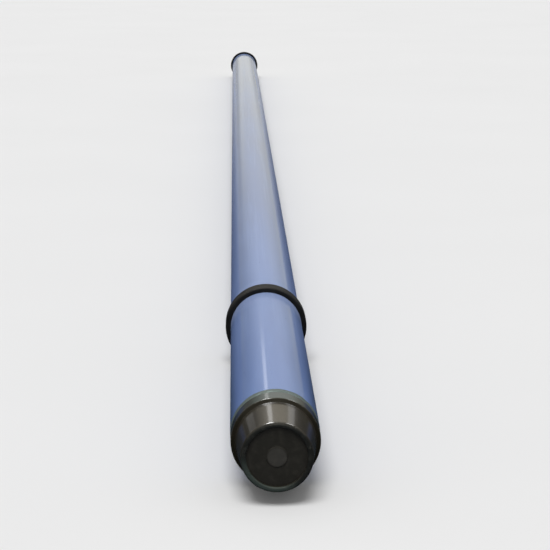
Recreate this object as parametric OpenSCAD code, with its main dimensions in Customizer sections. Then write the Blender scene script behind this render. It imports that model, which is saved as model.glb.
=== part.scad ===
/* [Collar] */
// Outside diameter of the collar
collar_d = 171.45; // [165:0.05:185]
// Diameter of the through bore
bore_d = 71.44; // [50:0.01:76]
// Length from the pin shoulder to the box shoulder
collar_len = 9144; // [3000:1:9450]
// Diameter of the flat sealing shoulder inside the bevel
bevel_d = 159.5; // [150:0.1:164]

/* [Threaded joint] */
// Crest diameter of the pin at its shoulder
pin_base_d = 133.35; // [129:0.01:135]
// Length of the pin from shoulder to nose
pin_len = 114.3; // [110:0.1:118]
// Change of diameter for each unit of length
joint_taper = 0.1667; // [0.12:0.0001:0.18]
// Distance from one thread to the next
pitch = 6.35; // [6:0.01:7]
// Height of a thread, crest to root
thread_h = 3.1; // [2.4:0.1:3.2]
// Flat width of a thread's crest
thread_crest = 1.65; // [1:0.05:1.8]
// Half of the angle between two flanks
flank_angle = 30; // [24:1:30]
// Diameter of the relief groove at the pin's root
relief_d = 118.9; // [114:0.1:121]
// Length of the relief groove
relief_len = 25.4; // [20:0.1:30]
// Diameter of the counterbore at the box's mouth
counterbore_d = 134.94; // [134:0.01:137]
// Depth of the counterbore
counterbore_len = 15.9; // [12:0.1:18]
// Depth at which the box's threads run out
box_thread_len = 84; // [80:0.1:90]
// Diameter of the relief bore behind the box's threads
boreback_d = 117.5; // [114.5:0.1:118.5]
// Depth at which the relief bore begins to close in
boreback_len = 146; // [140:0.5:160]

/* [Pin protector] */
// Outside diameter of the flange beside the shoulder
flange_d = 169.2; // [164:0.1:171]
// Length of that flange
flange_len = 39.5; // [30:0.5:50]
// Outside diameter where the cap begins
cap_root_d = 154.6; // [150:0.1:158]
// Outside diameter at the cap's end
cap_end_d = 134; // [130:0.5:138]
// Space between the pin's nose and the liner's closed end
nose_gap = 11.7; // [6:0.1:16]
// Thickness of a liner's closed end
end_wall = 5; // [3:0.5:8]
// Wall of the pressed steel of both protectors
shell_wall = 3; // [2:0.1:4]
// Width of the rim rolled in over the end
rim_w = 11; // [10:0.5:14]
// Radius of the rim's outer corner
rim_round = 6; // [3:0.5:6.5]
// Radius of the rim's inner corner
lip_round = 3; // [1:0.5:3.5]
// Depth of the end face below the rim
face_recess = 6; // [4:0.5:8]
// Diameter of the raised disc on the end face
boss_d = 37; // [20:1:50]
// Radial gap between a protector's threads and the steel's
thread_gap = 0.3; // [0.2:0.05:0.6]

/* [Box protector] */
// Outside diameter of the plug's flange
plug_flange_d = 169.2; // [164:0.1:171]
// Length of that flange outside the box
plug_flange_len = 27; // [20:0.5:40]
// Plain length of the plug beyond its threads
plug_tail = 12.6; // [6:0.1:20]
// Wall of plastic between the plug's threads and its steel cup
plug_wall = 5; // [4:0.5:7]

/* [Spacer rings] */
// Thickness of a rubber ring, inside to outside
ring_t = 12; // [8:0.5:20]
// Width of a rubber ring along the collar
ring_w = 46; // [30:1:70]
// Distance from the pin shoulder to the middle of the ring near it
pin_ring_y = 883; // [400:1:1200]
// Distance from the box shoulder to the middle of the ring near it
box_ring_s = 130; // [60:1:1200]
// How much the weight flattens a ring underneath
ring_squash = 1.2; // [0.6:0.1:2]
// Radius of a ring's outer corners
ring_corner = 5; // [2:0.5:7]

/* [Hidden] */
$fn = 96;

collar_r = collar_d / 2;
bore_r = bore_d / 2;
bevel_r = bevel_d / 2;
bevel_len = collar_r - bevel_r;
ring_r = collar_r + ring_t;
floor_z = ring_squash - ring_r;

// Small break on turned edges, and the slopes that lead into and out of the reliefs
edge = 1;
shoulder_ramp = 6;
relief_ramp = 3;
boreback_angle = 30;

// Thread form: a truncated V, the same on steel and on protectors
flank_len = thread_h * tan(flank_angle);
tooth_len = 2 * flank_len + thread_crest;
nose_chamfer = 2;
pin_s0 = relief_len + pitch / 2;
box_s0 = pin_s0 - floor((pin_s0 - counterbore_len) / pitch) * pitch;
pin_teeth = floor((pin_len - nose_chamfer - relief_len - pitch / 2) / pitch);
box_teeth = floor((box_thread_len - counterbore_len) / pitch);
plug_teeth = box_teeth - 1;

// Radius of the thread crests at depth s from either shoulder
function crest_r(s) = pin_base_d / 2 - s * joint_taper / 2;

// Closed thread rings from depth s0 on, as [radius, depth], moved out by grow
function teeth(s0, count, grow = 0) = [
    for (i = [0 : count - 1])
        let (s = s0 + i * pitch)
        each [
            [crest_r(s) - thread_h + grow, s],
            [crest_r(s + flank_len) + grow, s + flank_len],
            [crest_r(s + flank_len + thread_crest) + grow, s + flank_len + thread_crest],
            [crest_r(s + tooth_len) - thread_h + grow, s + tooth_len]
        ]
];

// A quarter round as [radius, depth] points, from angle a to angle b
function arc(centre, r, a, b, steps = 6) = [
    for (i = [0 : steps])
        let (t = a + (b - a) * i / steps)
        centre + r * [cos(t), sin(t)]
];

function reversed(list) = [for (i = [len(list) - 1 : -1 : 0]) list[i]];

// Depths from the pin shoulder run towards -Y, from the box shoulder towards +Y
function from_pin_shoulder(points) = [for (p = points) [p[0], -p[1]]];
function from_box_shoulder(points) = [for (p = points) [p[0], collar_len - p[1]]];

// Turns an outline of [radius, y] points around the Y axis
module turned(points) {
    rotate([-90, 0, 0])
        rotate_extrude()
            polygon(points);
}

pin_outline = from_pin_shoulder(concat(
    [
        [bore_r, pin_len],
        [crest_r(pin_len) - thread_h - nose_chamfer, pin_len],
        [crest_r(pin_len) - thread_h, pin_len - nose_chamfer]
    ],
    reversed(teeth(pin_s0, pin_teeth)),
    [
        [crest_r(pin_s0) - thread_h, relief_len],
        [relief_d / 2, relief_len - relief_ramp],
        [relief_d / 2, shoulder_ramp],
        [relief_d / 2 + shoulder_ramp, 0]
    ]
));

box_outline = from_box_shoulder(concat(
    [
        [counterbore_d / 2 + edge, 0],
        [counterbore_d / 2, edge],
        [counterbore_d / 2, counterbore_len]
    ],
    teeth(box_s0, box_teeth),
    [
        [boreback_d / 2, box_s0 + box_teeth * pitch + edge],
        [boreback_d / 2, boreback_len],
        [bore_r, boreback_len + (boreback_d / 2 - bore_r) / tan(boreback_angle)]
    ]
));

// One steel bar: painted outside, threaded pin at -Y, threaded box at +Y
module collar() {
    color([0.38, 0.46, 0.62])
        turned(concat(
            pin_outline,
            [
                [bevel_r, 0],
                [collar_r, bevel_len],
                [collar_r, collar_len - bevel_len],
                [bevel_r, collar_len]
            ],
            box_outline
        ));
}

// Pin protector: radii, the sloping step behind its flange, and the liner's seat
flange_r = flange_d / 2;
cap_root_r = cap_root_d / 2;
cap_end_r = cap_end_d / 2;
step_angle = 55;
step_len = (flange_r - cap_root_r) / tan(step_angle);
lip_r = cap_end_r - rim_w;
seat_s = pin_len + nose_gap + end_wall;
cap_len = seat_s + face_recess;
boss_h = 1.5;

// Inside of the shell and outside of the liner, from the shoulder to the seat
function shell_inside() = [
    [flange_r - shell_wall, 0],
    [flange_r - shell_wall, flange_len - edge],
    [cap_root_r - shell_wall, flange_len + step_len - edge],
    [cap_end_r - shell_wall + (cap_root_r - cap_end_r) * face_recess / cap_len, seat_s]
];

// Pressed steel cup without a bottom, its end rolled in over the liner
module pin_protector_shell() {
    color([0.16, 0.16, 0.15])
        turned(from_pin_shoulder(concat(
            shell_inside(),
            [[lip_r, seat_s]],
            arc([lip_r + lip_round, cap_len - lip_round], lip_round, 180, 90),
            arc([cap_end_r - rim_round, cap_len - rim_round], rim_round, 90, 0),
            [
                [cap_root_r, flange_len + step_len],
                [flange_r, flange_len],
                [flange_r, edge],
                [flange_r - edge, 0]
            ]
        )));
}

// Moulded plastic lining with the pin's thread form and a closed end
module pin_protector_liner() {
    last_s = pin_s0 + pin_teeth * pitch;
    color([0.13, 0.125, 0.12])
        turned(from_pin_shoulder(concat(
            shell_inside(),
            [
                [boss_d / 2 + boss_h, seat_s],
                [boss_d / 2, seat_s + boss_h],
                [0, seat_s + boss_h],
                [0, seat_s - end_wall],
                [crest_r(last_s) + thread_gap - thread_h, seat_s - end_wall]
            ],
            reversed(teeth(pin_s0, pin_teeth, thread_gap)),
            [
                [crest_r(pin_s0) + thread_gap, pin_s0 - edge],
                [crest_r(0) + thread_gap, edge],
                [crest_r(0) + thread_gap + edge, 0]
            ]
        )));
}

// Box protector: its skirt and front ring, and a deep cup that narrows as the joint does
skirt_r = plug_flange_d / 2;
skirt_round = 4;
front_s = shell_wall - plug_flange_len;
plug_len = box_s0 + plug_teeth * pitch + plug_tail;
floor_s = plug_len - end_wall;
taper_angle = atan(joint_taper / 2);
mouth_round = 3;
mouth_s = front_s + mouth_round;
mouth_r = cup_r(mouth_s) + mouth_round / cos(taper_angle);
corner_round = 8;
corner_s = floor_s - corner_round;
corner_r = cup_r(corner_s) - corner_round / cos(taper_angle);

// Outside of the steel cup at depth s
function cup_r(s) = crest_r(s) - thread_h - thread_gap - plug_wall;

// Cup from its mouth to the axis, on the plastic's side or t further into the hollow
function cup_side(t = 0) = concat(
    arc([mouth_r, mouth_s], mouth_round + t, 270, 180 + taper_angle),
    arc([corner_r, corner_s], corner_round - t, taper_angle, 90),
    [[0, floor_s - t]]
);

// Inside of the skirt and front ring, and the cup's outside
function box_shell_inside() = concat(
    [[skirt_r - shell_wall, 0], [skirt_r - shell_wall, front_s]],
    cup_side()
);

// Pressed steel cup, open outwards, with a front ring and a skirt over the plastic
module box_protector_shell() {
    color([0.16, 0.16, 0.15])
        turned(from_box_shoulder(concat(
            box_shell_inside(),
            reversed(cup_side(shell_wall)),
            arc([skirt_r - skirt_round, skirt_round - plug_flange_len], skirt_round, 270, 360),
            [[skirt_r, -edge], [skirt_r - edge, 0]]
        )));
}

// Moulded plastic plug with the box's thread form, its flange over the shoulder
module box_protector_liner() {
    plug_end_r = crest_r(plug_len) - thread_h - thread_gap;
    neck_r = counterbore_d / 2 - thread_gap;
    color([0.13, 0.125, 0.12])
        turned(from_box_shoulder(concat(
            box_shell_inside(),
            [
                [0, plug_len],
                [plug_end_r - nose_chamfer, plug_len],
                [plug_end_r, plug_len - nose_chamfer]
            ],
            reversed(teeth(box_s0, plug_teeth, -thread_gap)),
            [[neck_r, counterbore_len - edge], [neck_r, 0]]
        )));
}

// Rubber ring stretched over the collar, flattened where it bears
module spacer_ring(middle_y) {
    half_w = ring_w / 2;
    round_at = [ring_r - ring_corner, half_w - ring_corner];
    color([0.07, 0.07, 0.07])
        difference() {
            translate([0, middle_y, 0])
                turned(concat(
                    [[collar_r, -half_w]],
                    arc([round_at[0], -round_at[1]], ring_corner, -90, 0),
                    arc(round_at, ring_corner, 0, 90),
                    [[collar_r, half_w]]
                ));
            translate([-ring_r, middle_y - ring_w, floor_z - ring_r])
                cube([2 * ring_r, 2 * ring_w, ring_r]);
        }
}

module spacer_ring_pin_end() {
    spacer_ring(pin_ring_y);
}

module spacer_ring_box_end() {
    spacer_ring(collar_len - box_ring_s);
}

collar();
pin_protector_shell();
pin_protector_liner();
box_protector_shell();
box_protector_liner();
spacer_ring_pin_end();
spacer_ring_box_end();
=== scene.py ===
"""Drill collar: a painted steel bar on rubber spacer rings, its threaded ends under protectors."""

import math

import bmesh
import bpy
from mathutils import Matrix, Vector


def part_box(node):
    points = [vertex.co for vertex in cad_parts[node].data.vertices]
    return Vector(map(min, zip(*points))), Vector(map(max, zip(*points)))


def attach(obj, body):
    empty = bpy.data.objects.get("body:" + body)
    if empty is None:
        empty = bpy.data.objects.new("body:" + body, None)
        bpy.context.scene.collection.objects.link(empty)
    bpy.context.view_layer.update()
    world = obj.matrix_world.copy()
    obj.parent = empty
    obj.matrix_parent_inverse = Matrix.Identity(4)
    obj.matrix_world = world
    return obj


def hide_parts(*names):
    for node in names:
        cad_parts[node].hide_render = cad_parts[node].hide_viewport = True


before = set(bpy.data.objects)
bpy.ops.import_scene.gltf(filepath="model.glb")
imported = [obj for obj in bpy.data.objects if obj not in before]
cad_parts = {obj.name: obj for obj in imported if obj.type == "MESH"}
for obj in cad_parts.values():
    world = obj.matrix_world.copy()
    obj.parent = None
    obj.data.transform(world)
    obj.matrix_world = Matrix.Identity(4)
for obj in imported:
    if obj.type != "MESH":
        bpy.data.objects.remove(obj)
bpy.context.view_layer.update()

MM = 0.001

# The bar's own sizes, in metres
collar_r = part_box("collar")[1].z
pin_len = -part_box("collar")[0].y
collar_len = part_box("collar")[1].y
bore_r = 35.72 * MM
bevel_r = 79.75 * MM
paint_end = 18 * MM
paint_film = 0.25 * MM
edge = 1 * MM
edge_break = 0.35 * MM

# Reliefs and bores of the pin and the box
relief_r = 59.45 * MM
relief_len = 25.4 * MM
relief_ramp = 3 * MM
shoulder_ramp = 6 * MM
nose_chamfer = 2 * MM
counterbore_r = 67.47 * MM
counterbore_len = 15.9 * MM
boreback_r = 58.75 * MM
boreback_len = 146 * MM
boreback_angle = math.radians(30)

# Threads: a truncated V on a cone, the same on steel and on plastic
pin_base_r = 66.675 * MM
taper = 0.1667 / 2
pitch = 6.35 * MM
thread_h = 3.1 * MM
thread_crest = 1.65 * MM
thread_gap = 0.3 * MM
flank = thread_h * math.tan(math.radians(30))
pin_thread_s = relief_len + pitch / 2
pin_teeth = 13
box_thread_s = pin_thread_s - pitch
box_teeth = 10

# Pin protector's pressed steel
cap_len = -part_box("pin_protector_shell")[0].y
flange_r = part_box("pin_protector_shell")[1].z
shell_wall = 3 * MM
flange_len = 39.5 * MM
cap_root_r = 77.3 * MM
cap_end_r = 67 * MM
rim_w = 11 * MM
rim_round = 6 * MM
lip_round = 3 * MM
face_recess = 6 * MM
press_bend = 1.2 * MM
step_angle = math.radians(55)
step_len = (flange_r - cap_root_r) / math.tan(step_angle)

# Box protector's pressed steel
skirt_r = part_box("box_protector_shell")[1].z
skirt_round = 4 * MM
mouth_round = 3 * MM
corner_round = 8 * MM
plug_wall = 5 * MM
cup_gap = thread_h + thread_gap + plug_wall

# Rubber rings
ring_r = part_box("spacer_ring_pin_end")[1].z
ring_corner = 5 * MM
ring_nodes = ("spacer_ring_pin_end", "spacer_ring_box_end")
ring_middles = [(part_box(node)[0].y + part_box(node)[1].y) / 2 for node in ring_nodes]
floor_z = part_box("spacer_ring_pin_end")[0].z

# How finely the turned pieces are cut, and how their shading is kept
round_steps = 192
arc_steps = 8
hold = 2 * MM
crease = math.radians(30)
sharp_turn = math.radians(20)
flush = 0.01 * MM
same_place = 0.001 * MM


def crest_r(s):
    """Radius of the thread crests at depth s from either shoulder."""
    return pin_base_r - s * taper


def teeth(first, count):
    """Thread rings from depth first on, as (radius, depth) corners."""
    corners = []
    for turn in range(count):
        s = first + turn * pitch
        corners += [
            (crest_r(s) - thread_h, s),
            (crest_r(s + flank), s + flank),
            (crest_r(s + flank + thread_crest), s + flank + thread_crest),
            (crest_r(s + 2 * flank + thread_crest) - thread_h, s + 2 * flank + thread_crest),
        ]
    return corners


def arc(centre, radius, start, end):
    """Corners along an arc from angle start to angle end, in degrees."""
    corners = []
    for step in range(arc_steps + 1):
        turn = math.radians(start + (end - start) * step / arc_steps)
        corners.append((centre[0] + radius * math.cos(turn), centre[1] + radius * math.sin(turn)))
    return corners


def from_pin_shoulder(corners):
    return [(radius, -s) for radius, s in corners]


def from_box_shoulder(corners):
    return [(radius, collar_len - s) for radius, s in corners]


def held(outline, closed):
    """Adds a corner close to each end of a long side, which keeps its shading straight."""
    corners = []
    ends = outline[1:] + outline[:1] if closed else outline[1:]
    for start, end in zip(outline, ends):
        corners.append(start)
        length = math.dist(start, end)
        if length > 4 * hold:
            for part in (hold / length, 1 - hold / length):
                corners.append(tuple(a + (b - a) * part for a, b in zip(start, end)))
    return corners if closed else corners + outline[-1:]


def turned(outline, closed=True):
    """Spins an outline of (radius, y) corners round the collar's axis."""
    mesh = bmesh.new()
    corners = [mesh.verts.new((radius, y, 0)) for radius, y in held(outline, closed)]
    ends = corners[1:] + corners[:1] if closed else corners[1:]
    sides = [mesh.edges.new(pair) for pair in zip(corners, ends)]
    bmesh.ops.spin(
        mesh, geom=corners + sides, cent=(0, 0, 0), axis=(0, 1, 0),
        angle=math.tau, steps=round_steps, use_merge=True,
    )
    bmesh.ops.remove_doubles(mesh, verts=mesh.verts, dist=same_place)
    bmesh.ops.recalc_face_normals(mesh, faces=mesh.faces)
    return mesh


def soften(mesh, width, where, segments=2):
    """Rounds the sharp turned edges at the radius and y that the test where lets through."""
    def chosen(side):
        first, second = side.verts
        radius, other = (math.hypot(corner.co.x, corner.co.z) for corner in side.verts)
        goes_round = abs(radius - other) < flush and abs(first.co.y - second.co.y) <= flush
        return goes_round and side.calc_face_angle(0) > sharp_turn and where(radius, first.co.y)

    bmesh.ops.bevel(
        mesh, geom=[side for side in mesh.edges if chosen(side)], affect="EDGES",
        offset=width, offset_type="OFFSET", segments=segments, profile=0.5, material=-1,
        clamp_overlap=True,
    )


def piece(name, mesh, finish, node):
    """Makes a mesh a shown piece that stands for a node of the frame."""
    data = bpy.data.meshes.new(name)
    mesh.to_mesh(data)
    mesh.free()
    data.shade_smooth()
    data.set_sharp_from_angle(angle=crease)
    data.materials.append(finish)
    made = bpy.data.objects.new(name, data)
    bpy.context.scene.collection.objects.link(made)
    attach(made, "root")
    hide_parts(node)


# Shader maths as expressions

class Signal:
    """A socket in a finish: sums, products and powers of it add Math nodes."""

    def __init__(self, finish, socket):
        self.finish = finish
        self.socket = socket

    def maths(self, operation, *values):
        sockets = dict(enumerate(values))
        return self.finish.node("ShaderNodeMath", {"operation": operation}, sockets)

    def __add__(self, other):
        return self.maths("ADD", self, other)

    __radd__ = __add__

    def __sub__(self, other):
        return self.maths("SUBTRACT", self, other)

    def __rsub__(self, other):
        return self.maths("SUBTRACT", other, self)

    def __mul__(self, other):
        return self.maths("MULTIPLY", self, other)

    def __truediv__(self, other):
        return self.maths("DIVIDE", self, other)

    def __pow__(self, other):
        return self.maths("POWER", self, other)

    def size(self):
        return self.maths("ABSOLUTE", self)


class Finish:
    """A node tree that is built up from signals and ends in one shader."""

    def __init__(self, name, **uniform):
        self.material = bpy.data.materials.new(name)
        self.material.use_nodes = True
        self.tree = self.material.node_tree
        self.shader = self.tree.nodes["Principled BSDF"]
        for socket, value in uniform.items():
            self.shader.inputs[socket.replace("_", " ")].default_value = value
        self.place = self.node("ShaderNodeTexCoord", output="Object")
        self.x, self.y, self.z = (
            self.node("ShaderNodeSeparateXYZ", {}, {0: self.place}, axis) for axis in "XYZ"
        )

    @classmethod
    def over(cls, tree):
        """The same way of adding nodes, on a tree that already has its shader."""
        made = cls.__new__(cls)
        made.tree = tree
        return made

    def node(self, kind, settings=None, sockets=None, output=0):
        """Adds a node: its settings first, then the values or links of its sockets."""
        added = self.tree.nodes.new(kind)
        for name, value in (settings or {}).items():
            setattr(added, name, value)
        for name, value in (sockets or {}).items():
            self.feed(added.inputs[name], value)
        return Signal(self, added.outputs[output])

    def feed(self, socket, value):
        if isinstance(value, Signal):
            self.tree.links.new(value.socket, socket)
        else:
            socket.default_value = value

    def stretched(self, scale):
        """The place on the object, scaled apart along x, y and z."""
        return self.node("ShaderNodeMapping", {}, {"Vector": self.place, "Scale": scale})

    def noise(self, scale, detail=3, roughness=0.55, distortion=0):
        """Smooth noise from 0 to 1. A scale of three numbers stretches it."""
        even = isinstance(scale, (int, float))
        return self.node("ShaderNodeTexNoise", {}, {
            "Vector": self.place if even else self.stretched(scale),
            "Scale": scale if even else 1,
            "Detail": detail, "Roughness": roughness, "Distortion": distortion,
        }, "Fac")

    def fade(self, value, low, high):
        """0 below low and 1 above high, smooth between. A high under low turns it round."""
        return self.node("ShaderNodeMapRange", {"interpolation_type": "SMOOTHSTEP"}, {
            "Value": value, "From Min": low, "From Max": high,
        })

    def blend(self, share, first, second):
        """From the first colour to the second as share goes from 0 to 1."""
        return self.node(
            "ShaderNodeMix", {"data_type": "RGBA"},
            {"Factor": share, 6: first, 7: second}, 2,
        )

    def bump(self, height, depth, under=None):
        sockets = {"Height": height, "Distance": depth}
        if under:
            sockets["Normal"] = under
        return self.node("ShaderNodeBump", {}, sockets)

    def paint(self, colour, roughness, normal=None, metallic=None, coat=None):
        """Feeds what varies over the surface into the shader."""
        varying = {
            "Base Color": colour, "Roughness": roughness, "Normal": normal,
            "Metallic": metallic, "Coat Weight": coat,
        }
        for socket, value in varying.items():
            if value is not None:
                self.feed(self.shader.inputs[socket], value)
        return self.material


def rgb(red, green, blue):
    """A colour written as it shows, from 0 to 255, as the shader takes it."""
    def linear(share):
        return share / 12.92 if share <= 0.04045 else ((share + 0.055) / 1.055) ** 2.4
    return (linear(red / 255), linear(green / 255), linear(blue / 255), 1)


def collar_finish():
    """Blue enamel over the bar, bare steel beside the pin shoulder and in the joints."""
    steel = Finish("blue_enamel", Coat_Roughness=0.1, IOR=1.5, Specular_IOR_Level=0.12)
    clouds = steel.noise((9, 1.1, 9), 4, 0.6)
    streaks = steel.noise((60, 0.9, 60), 3, 0.6)
    grain = steel.noise(900, 2)
    run = steel.fade(streaks, 0.5, 0.75)
    enamel = steel.blend(steel.fade(clouds, 0.3, 0.72), rgb(108, 136, 194), rgb(122, 150, 207))
    enamel = steel.blend(run * 0.3, enamel, rgb(141, 164, 212))
    scuffs = steel.fade(steel.noise((45, 1.3, 45), 5, 0.7, 0.4), 0.6, 0.78)
    enamel = steel.blend(scuffs * 0.3, enamel, rgb(150, 165, 200))
    chips = steel.fade(steel.noise((150, 50, 150), 3, 0.6), 0.7, 0.74)
    enamel = steel.blend(chips * 0.45, enamel, rgb(88, 98, 120))

    turning = steel.noise((3, 2600, 3), 2, 0.6)
    rust = steel.fade(steel.noise(55, 5, 0.65), 0.5, 0.72)
    bare = steel.blend(turning, rgb(84, 96, 94), rgb(112, 124, 121))
    bare = steel.blend(rust * 0.35, bare, rgb(84, 82, 70))

    wander = (steel.noise(38, 3) - 0.5) * 2.4 * MM
    along = steel.y + wander
    covered = steel.fade(along, paint_end - 0.3 * MM, paint_end + 0.3 * MM)
    covered = covered * steel.fade(along, collar_len - 8 * MM, collar_len - 9 * MM)
    # Within 150 mm of each ring the enamel turns paler and less glossy: settled dust, and the
    # paler colour is also a painted pale halo of light beside the ring.
    dust = 0
    for middle in ring_middles:
        dust = dust + steel.fade((steel.y - middle).size(), 150 * MM, 30 * MM)
    enamel = steel.blend(dust * 0.4, enamel, rgb(164, 170, 186))
    colour = steel.blend(covered, bare, enamel)
    roughness = covered * (0.36 + steel.fade(clouds, 0.35, 0.7) * 0.1 + scuffs * 0.2 + chips * 0.2)
    roughness = roughness + (1 - covered) * (0.42 + rust * 0.3)
    peel = steel.bump(steel.noise(260, 2) * covered, 0.008 * MM)
    normal = steel.bump(grain * (1 - covered) + turning * (1 - covered), 0.03 * MM, peel)
    gloss = covered * (0.9 - run * 0.1 - scuffs * 0.25 - chips * 0.3) * (1 - dust * 0.75)
    return steel.paint(colour, roughness, normal, metallic=(1 - covered) * 0.3, coat=gloss)


def shell_finish():
    """Charcoal enamel on the caps' pressed steel; greenish grey flanges painted paler on top as
    lit, a step painted dark as shade and a rim painted paler below as lit.
    """
    shell = Finish("charcoal_enamel", Coat_Roughness=0.13, IOR=1.5, Specular_IOR_Level=0.2)
    clouds = shell.noise(28, 4, 0.6)
    streaks = shell.noise((90, 6, 90), 3, 0.65)
    charcoal = shell.blend(clouds, rgb(36, 33, 26), rgb(52, 48, 39))
    charcoal = shell.blend(shell.fade(streaks, 0.52, 0.75) * 0.5, charcoal, rgb(72, 67, 56))
    # Painted light: the flange is paler on top and darker on its sides, as lit from above.
    towards_top = shell.fade(shell.z + clouds * 8 * MM, 70 * MM, 83 * MM)
    flange = shell.blend(clouds, rgb(26, 32, 31), rgb(36, 42, 40))
    flange = shell.blend(towards_top, flange, rgb(52, 66, 60))
    on_flange = shell.fade(shell.y, -flange_len - 0.2 * MM, -flange_len + 0.6 * MM)
    colour = shell.blend(on_flange, charcoal, flange)
    on_rim = shell.fade(shell.y, rim_round * 0.6 - cap_len, rim_round * 0.2 - cap_len)
    # Painted shade: the step behind the flange is painted dark, with its coat dulled, standing in
    # for shade in the corner.
    step_end = -flange_len - step_len
    step_shade = shell.fade(shell.y, step_end - 2 * MM, step_end)
    step_shade = step_shade * shell.fade(shell.y, -flange_len, -flange_len - 1.5 * MM)
    colour = shell.blend(step_shade * 0.85, colour, rgb(26, 24, 15))
    # Painted light: the rim turns paler towards the bottom left, standing in for the lit crescent
    # there.
    low = shell.fade(shell.z + shell.x * 0.5, -20 * MM, -60 * MM)
    rim_lit_below = shell.blend(low, rgb(30, 31, 29), rgb(56, 65, 61))
    colour = shell.blend(on_rim, colour, rim_lit_below)
    rubbed = shell.fade(shell.noise((70, 30, 70), 5, 0.75, 0.8), 0.64, 0.72)
    edges = shell.fade((shell.y + flange_len).size(), 1.6 * MM, 0.4 * MM)
    edges = edges + shell.fade(shell.y, rim_round * 0.5 - cap_len, -cap_len) * 0.3
    rubbed = rubbed + edges * shell.fade(shell.noise(75, 4, 0.7), 0.5, 0.62) * (1 - rubbed) * 0.6
    colour = shell.blend(rubbed * 0.4, colour, rgb(118, 118, 110))
    roughness = 0.32 + clouds * 0.1 + rubbed * 0.2
    normal = shell.bump(shell.noise(320, 2), 0.06 * MM)
    return shell.paint(colour, roughness, normal, coat=(0.85 - rubbed * 0.5) * (1 - step_shade * 0.8))


def plastic_finish():
    """Dull black moulding with faint flow marks and dust, paler in the middle."""
    plastic = Finish("black_moulding", IOR=1.46)
    flow = plastic.noise(34, 4, 0.6, 0.8)
    dust = plastic.fade(plastic.noise(90, 5, 0.7), 0.45, 0.8)
    colour = plastic.blend(flow, rgb(30, 29, 25), rgb(42, 41, 37))
    radius = (plastic.x * plastic.x + plastic.z * plastic.z) ** 0.5
    disc = plastic.fade(radius + flow * 3 * MM, 22 * MM, 16 * MM)
    colour = plastic.blend(disc * 0.75, colour, rgb(60, 59, 56))
    colour = plastic.blend(dust * 0.15, colour, rgb(96, 92, 84))
    normal = plastic.bump(plastic.noise(700, 3), 0.08 * MM)
    return plastic.paint(colour, 0.6 + dust * 0.2, normal)


def rubber_finish():
    """Near-black rubber with a dusty bloom and fine moulding grain."""
    rubber = Finish("spacer_rubber", IOR=1.5, Specular_IOR_Level=0.28)
    bloom = rubber.fade(rubber.noise(40, 5, 0.7), 0.4, 0.75)
    towards_top = rubber.fade(rubber.z, ring_r - 14 * MM, ring_r - 4 * MM)
    colour = rubber.blend(bloom * (0.3 + towards_top * 0.4), rgb(8, 9, 10), rgb(36, 37, 39))
    ribs = rubber.noise((4, 900, 4), 2)
    normal = rubber.bump(rubber.noise(420, 4) + ribs * 0.5, 0.12 * MM)
    return rubber.paint(colour, 0.62 + bloom * 0.2, normal)


def collar():
    """One bar with its bore, its pin at one end and its box at the other."""
    pin = from_pin_shoulder(
        [
            (bore_r, pin_len),
            (crest_r(pin_len) - thread_h - nose_chamfer, pin_len),
            (crest_r(pin_len) - thread_h, pin_len - nose_chamfer),
        ]
        + teeth(pin_thread_s, pin_teeth)[::-1]
        + [
            (crest_r(pin_thread_s) - thread_h, relief_len),
            (relief_r, relief_len - relief_ramp),
            (relief_r, shoulder_ramp),
            (relief_r + shoulder_ramp, 0),
        ]
    )
    box = from_box_shoulder(
        [
            (counterbore_r + edge, 0),
            (counterbore_r, edge),
            (counterbore_r, counterbore_len),
        ]
        + teeth(box_thread_s, box_teeth)
        + [
            (boreback_r, box_thread_s + box_teeth * pitch + edge),
            (boreback_r, boreback_len),
            (bore_r, boreback_len + (boreback_r - bore_r) / math.tan(boreback_angle)),
        ]
    )
    bevel_len = collar_r - bevel_r
    body = [
        (bevel_r, 0),
        (collar_r - paint_film, bevel_len),
        (collar_r - paint_film, paint_end - paint_film),
        (collar_r, paint_end),
        (collar_r, collar_len - bevel_len),
        (bevel_r, collar_len),
    ]
    mesh = turned(pin + body + box)
    soften(
        mesh, edge_break,
        lambda radius, y: radius > bevel_r - edge and abs(y - paint_end) > edge,
    )
    piece("collar_bar", mesh, collar_finish(), "collar")


def pin_protector_shell(finish):
    """Pressed steel cup without a bottom, its end rolled in over the plastic."""
    seat = cap_len - face_recess
    lip_r = cap_end_r - rim_w
    seat_r = cap_end_r - shell_wall + (cap_root_r - cap_end_r) * face_recess / cap_len
    mesh = turned(from_pin_shoulder(
        [
            (flange_r - shell_wall, 0),
            (flange_r - shell_wall, flange_len - edge),
            (cap_root_r - shell_wall, flange_len + step_len - edge),
            (seat_r, seat),
            (lip_r, seat),
        ]
        + arc((lip_r + lip_round, cap_len - lip_round), lip_round, 180, 90)
        + arc((cap_end_r - rim_round, cap_len - rim_round), rim_round, 90, 0)
        + [
            (cap_root_r, flange_len + step_len),
            (flange_r, flange_len),
            (flange_r, edge),
            (flange_r - edge, 0),
        ]
    ))
    soften(mesh, press_bend, lambda radius, y: radius > cap_root_r - edge and y < -edge * 2, 3)
    piece("pin_protector_steel", mesh, finish, "pin_protector_shell")


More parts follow.
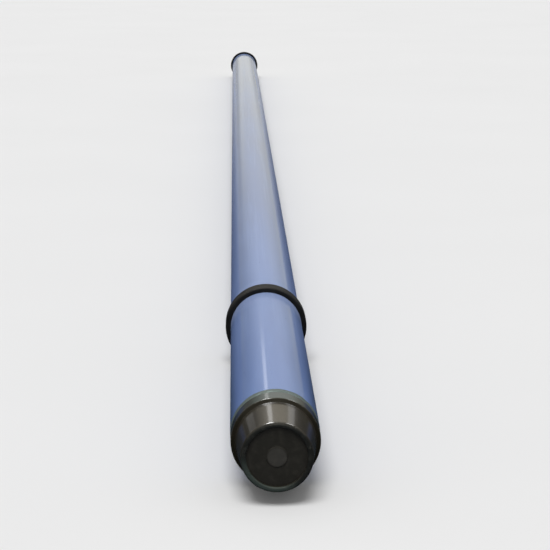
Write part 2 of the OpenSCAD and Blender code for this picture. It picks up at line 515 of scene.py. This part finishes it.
def box_protector_shell(finish):
    """Pressed steel cup, open outwards, with a front ring and a skirt over the plastic."""
    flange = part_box("box_protector_shell")[1].y - collar_len
    floor_s = collar_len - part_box("box_protector_shell")[0].y
    lean = math.degrees(math.atan(taper))
    square = math.hypot(1, taper)

    def cup_r(s):
        return crest_r(s) - cup_gap

    def cup_side(inwards):
        mouth_s = shell_wall - flange + mouth_round
        corner_s = floor_s - corner_round
        mouth = (cup_r(mouth_s) + mouth_round * square, mouth_s)
        corner = (cup_r(corner_s) - corner_round * square, corner_s)
        return (
            arc(mouth, mouth_round + inwards, 270, 180 + lean)
            + arc(corner, corner_round - inwards, lean, 90)
            + [(0, floor_s - inwards)]
        )

    mesh = turned(from_box_shoulder(
        cup_side(0)[::-1]
        + [(skirt_r - shell_wall, shell_wall - flange), (skirt_r - shell_wall, 0)]
        + [(skirt_r - edge, 0), (skirt_r, -edge)]
        + arc((skirt_r - skirt_round, skirt_round - flange), skirt_round, 360, 270)
        + cup_side(shell_wall)
    ), closed=False)
    piece("box_protector_steel", mesh, finish, "box_protector_shell")


def spacer_ring(node, finish):
    """Rubber ring stretched over the collar, flattened where it bears."""
    low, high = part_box(node)
    middle, half_w = (low.y + high.y) / 2, (high.y - low.y) / 2
    outer = ring_r - ring_corner
    inner_w = half_w - ring_corner
    mesh = turned(
        [(collar_r, middle - half_w)]
        + arc((outer, middle - inner_w), ring_corner, -90, 0)
        + arc((outer, middle + inner_w), ring_corner, 0, 90)
        + [(collar_r, middle + half_w)]
    )
    for corner in mesh.verts:
        corner.co.z = max(corner.co.z, floor_z)
    piece(node + "_rubber", mesh, finish, node)


shell = shell_finish()
plastic = plastic_finish()
rubber = rubber_finish()
collar()
pin_protector_shell(shell)
box_protector_shell(shell)
for node in ring_nodes:
    spacer_ring(node, rubber)
for node in ("pin_protector_liner", "box_protector_liner"):
    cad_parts[node].material_slots[0].material = plastic


def lamp(name, place, size, watts):
    """A soft strip light over the collar, size = (along it, across it), facing its axis."""
    light = bpy.data.lights.new(name, "AREA")
    light.shape = "RECTANGLE"
    light.size, light.size_y = size
    light.energy = watts
    made = bpy.data.objects.new(name, light)
    made.location = place
    aim = Vector((0, place[1], 0))
    made.rotation_euler = (aim - made.location).to_track_quat("-Z", "Y").to_euler()
    made.visible_camera = False
    made.visible_diffuse = False
    bpy.context.scene.collection.objects.link(made)


def flat_stage(name, middle_y, size, lift, finish):
    """A level sheet, size = (across, along), at or just over the floor, no part of the object."""
    sheet = bmesh.new()
    bmesh.ops.create_grid(sheet, x_segments=1, y_segments=1, size=0.5)
    bmesh.ops.scale(sheet, verts=sheet.verts, vec=(*size, 1))
    bmesh.ops.translate(sheet, verts=sheet.verts, vec=(0, middle_y, floor_z + lift))
    data = bpy.data.meshes.new(name)
    sheet.to_mesh(data)
    sheet.free()
    data.materials.append(finish)
    made = bpy.data.objects.new(name, data)
    bpy.context.scene.collection.objects.link(made)
    return made


def painted_reflection_sheet():
    """A wide sheet under the collar, seen only in gloss: painted reflections, dark near by as
    shade beside the collar and pale far off.
    """
    dark = Finish("painted_reflection_sheet", Specular_IOR_Level=0)
    near = dark.blend(dark.fade(dark.y, 0.5, 1.5), rgb(34, 40, 46), rgb(64, 74, 102))
    spread = (dark.x / (dark.y + 3)).size()
    far = dark.fade(dark.y, 0.8, 12) * dark.fade(spread, 0.22, 0.04)
    colour = dark.blend(far, near, rgb(184, 186, 190))
    gloss_sheet = flat_stage(
        "painted_reflection_sheet", middle_y=collar_len / 2, size=(120, 120), lift=1 * MM,
        finish=dark.paint(colour, 0.9),
    )
    gloss_sheet.visible_camera = False
    gloss_sheet.visible_diffuse = False
    gloss_sheet.visible_shadow = False


def surroundings():
    """Even and pale to the eye; the gloss sees a bright horizon ahead and a bright overhead."""
    world = bpy.data.worlds.new("studio")
    bpy.context.scene.world = world
    world.use_nodes = True
    sky = Finish.over(world.node_tree)
    way = sky.node("ShaderNodeTexCoord")
    aside = sky.node("ShaderNodeSeparateXYZ", {}, {0: way}, "X")
    height = sky.node("ShaderNodeSeparateXYZ", {}, {0: way}, "Z")
    rays = sky.node("ShaderNodeLightPath", output="Is Camera Ray")
    glossy = sky.node("ShaderNodeLightPath", output="Is Glossy Ray")
    overhead = sky.fade(height, 0.28, 0.46)
    ahead = sky.fade((aside - 0.06).size(), 0.36, 0.04)
    upright = sky.fade((aside / height + 0.3).size(), 3.4, 0.3)
    horizon = sky.fade(height, 0.3, 0.03) * sky.fade(aside.size(), 0.32, 0.08) * upright
    glare = sky.fade(height, 0.095, 0.065) * upright
    sides = sky.fade(aside.size(), 0.04, 0.13) * sky.fade(aside.size(), 0.3, 0.22)
    sides = sides * sky.fade(height, 0.12, 0)
    sides = sides * (0.12 + sky.fade(aside, -0.02, 0.02) * 0.04)
    lit, seen = 0.46, 0.79
    mirrored = 0.05 + ahead * 0.4 + horizon * 0.27 + glare * 0.2 + sides + overhead * 0.36
    strength = lit + rays * (seen - lit) + glossy * (mirrored - lit)
    haze = sky.fade(height, 0.25, 0.05) * glossy
    warmth = sky.blend(haze, (1, 1, 1, 1), (1.03, 1, 0.84, 1))
    warmth = sky.blend(overhead * glossy, warmth, (1, 0.92, 0.76, 1))
    background = world.node_tree.nodes["Background"]
    sky.feed(background.inputs["Color"], warmth)
    sky.feed(background.inputs["Strength"], strength)


def studio():
    """Pale floor under the rings, pale surroundings, soft sun, and strips for the streaks."""
    pale = Finish("pale_floor", Specular_IOR_Level=0)
    bounced = pale.node("ShaderNodeLightPath", output="Is Diffuse Ray")
    tone = pale.blend(pale.noise(0.8, 2), rgb(232, 232, 232), rgb(236, 236, 236))
    colour = pale.blend(bounced, tone, rgb(165, 165, 167))
    flat_stage(
        "studio_floor", middle_y=0, size=(300, 300), lift=0, finish=pale.paint(colour, 0.9),
    )
    painted_reflection_sheet()
    surroundings()

    light = bpy.data.lights.new("soft_sun", "SUN")
    light.angle = math.radians(30)
    light.energy = 1.95
    made = bpy.data.objects.new("soft_sun", light)
    shining = Vector((0.08, 0.45, -0.88))
    made.rotation_euler = shining.to_track_quat("-Z", "Y").to_euler()
    made.visible_glossy = False
    bpy.context.scene.collection.objects.link(made)
    lamp("near_streak", place=(-0.7, 3.3, 3), size=(7.6, 0.55), watts=21)
    lamp("body_streak", place=(-1, 10, 3), size=(4.5, 0.5), watts=6)
    lamp("right_sheen", place=(1.5, 4.3, 1.9), size=(3, 0.7), watts=4)
    lamp("rim_glint", place=(-0.6, 0.7, 2.4), size=(1.6, 0.6), watts=60)
    lamp("right_glint", place=(1.1, 0.7, 2), size=(1.2, 0.6), watts=20)
    lamp("left_sheen", place=(-2, 4.5, 1), size=(1.5, 0.8), watts=1.4)


def camera():
    """The photograph's station and angle, with a longer lens: the collar fills the frame."""
    data = bpy.data.cameras.new("camera")
    data.lens = 105
    made = bpy.data.objects.new("camera", data)
    made.location = (-0.074, -2.9027, 0.918)
    look_down = math.radians(11.85)
    look_right = math.radians(1.45)
    made.rotation_euler = (math.pi / 2 - look_down, 0, -look_right)
    bpy.context.scene.collection.objects.link(made)
    bpy.context.scene.camera = made


studio()
camera()
bpy.context.scene.view_settings.view_transform = "Standard"
